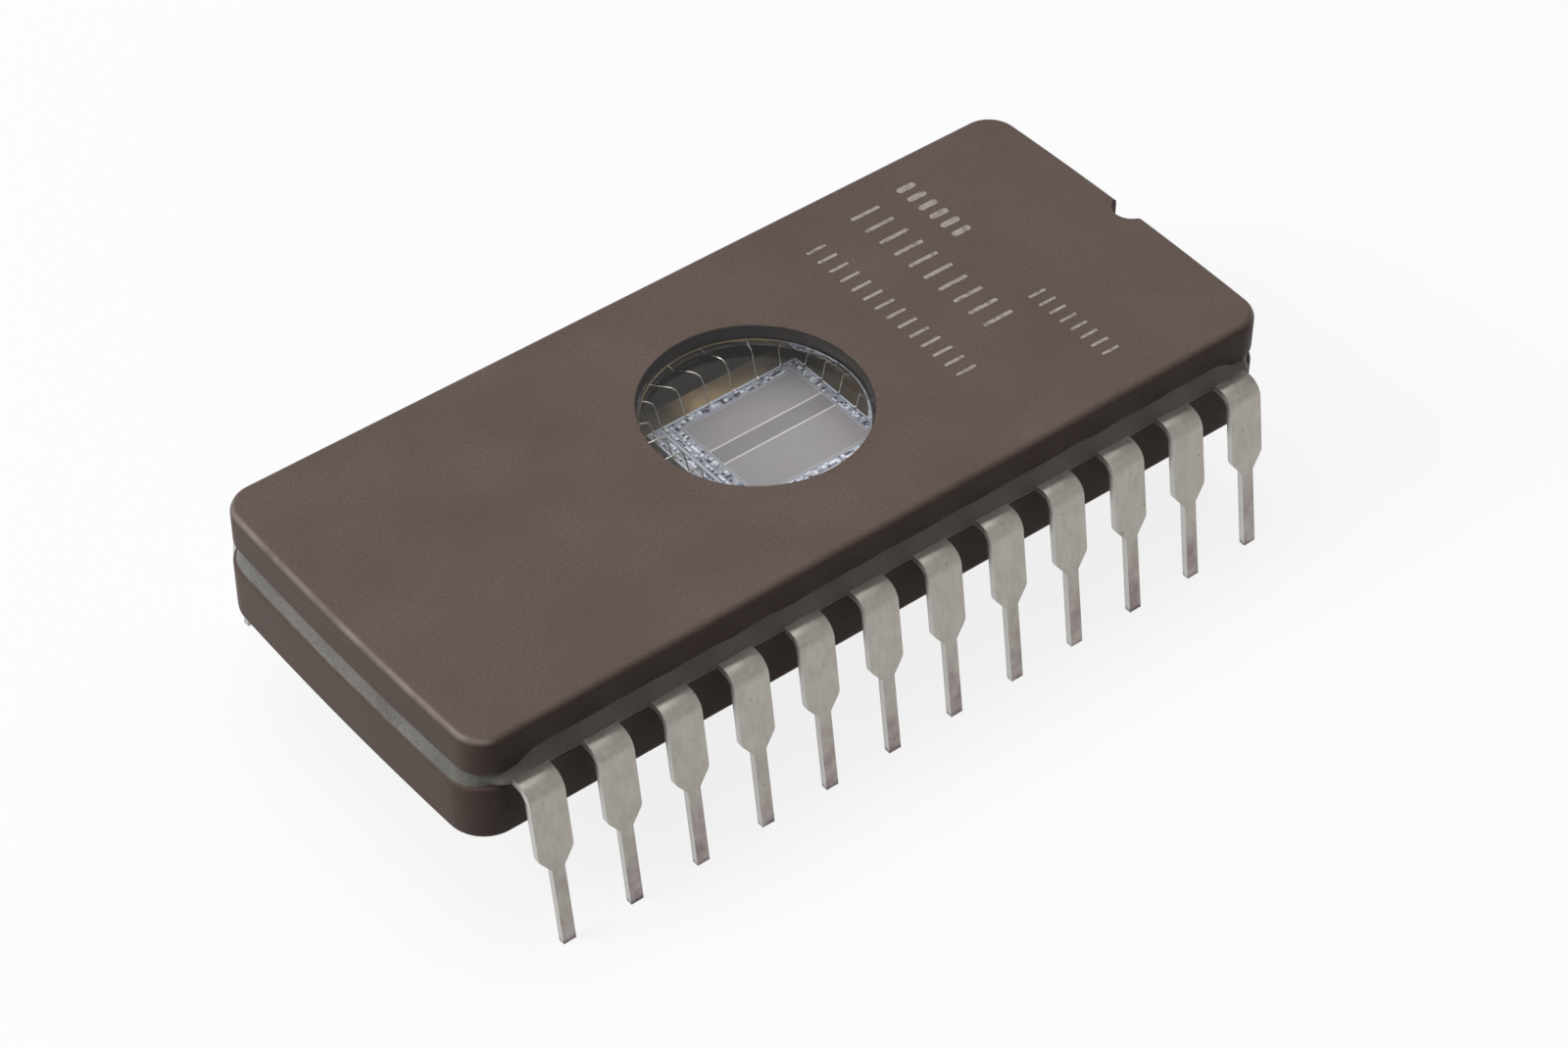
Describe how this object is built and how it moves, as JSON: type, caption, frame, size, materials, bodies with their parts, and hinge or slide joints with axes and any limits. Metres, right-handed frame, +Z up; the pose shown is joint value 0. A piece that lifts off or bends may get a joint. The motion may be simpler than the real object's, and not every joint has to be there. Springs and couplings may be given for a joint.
{
  "type": "windowed ceramic eprom chip",
  "caption": "Ceramic dual-in-line memory chip with a round glass window over its die, an index notch at one end and two rows of splayed leads.",
  "frame": {"origin": "under the middle of the package, on the plane that the lead tips stand on", "axes": "+X along the package towards the index notch, +Y across it towards the row with lead 1, +Z up out of the window"},
  "size_m": [0.032, 0.0174, 0.0078],
  "materials": {
    "dark_alumina": "matt, pressed and fired dark brown alumina",
    "seal_glass": "satin grey fired sealing glass, opaque",
    "window_glass": "clear, polished on top",
    "silicon": "metallised and passivated silicon, semi-gloss",
    "gold_attach": "dull gold-coloured die attach layer",
    "plated_leads": "satin tin-plated nickel-iron strip",
    "bond_wire": "bright drawn aluminium wire"
  },
  "bodies": {
    "root": {"base": "dark_alumina", "cap": "dark_alumina", "seal_glass": "seal_glass", "window_lens": "window_glass", "die": "silicon", "die_pad": "gold_attach", "lead_01": "plated_leads", "lead_02": "plated_leads", "lead_03": "plated_leads", "lead_04": "plated_leads", "lead_05": "plated_leads", "lead_06": "plated_leads", "lead_07": "plated_leads", "lead_08": "plated_leads", "lead_09": "plated_leads", "lead_10": "plated_leads", "lead_11": "plated_leads", "lead_12": "plated_leads", "lead_13": "plated_leads", "lead_14": "plated_leads", "lead_15": "plated_leads", "lead_16": "plated_leads", "lead_17": "plated_leads", "lead_18": "plated_leads", "lead_19": "plated_leads", "lead_20": "plated_leads", "lead_21": "plated_leads", "lead_22": "plated_leads", "lead_23": "plated_leads", "lead_24": "plated_leads", "bond_wire_01": "bond_wire", "bond_wire_02": "bond_wire", "bond_wire_03": "bond_wire", "bond_wire_04": "bond_wire", "bond_wire_05": "bond_wire", "bond_wire_06": "bond_wire", "bond_wire_07": "bond_wire", "bond_wire_08": "bond_wire", "bond_wire_09": "bond_wire", "bond_wire_10": "bond_wire", "bond_wire_11": "bond_wire", "bond_wire_12": "bond_wire", "bond_wire_13": "bond_wire", "bond_wire_14": "bond_wire", "bond_wire_15": "bond_wire", "bond_wire_16": "bond_wire", "bond_wire_17": "bond_wire", "bond_wire_18": "bond_wire", "bond_wire_19": "bond_wire", "bond_wire_20": "bond_wire", "bond_wire_21": "bond_wire", "bond_wire_22": "bond_wire", "bond_wire_23": "bond_wire", "bond_wire_24": "bond_wire"}
  },
  "joints": []
}
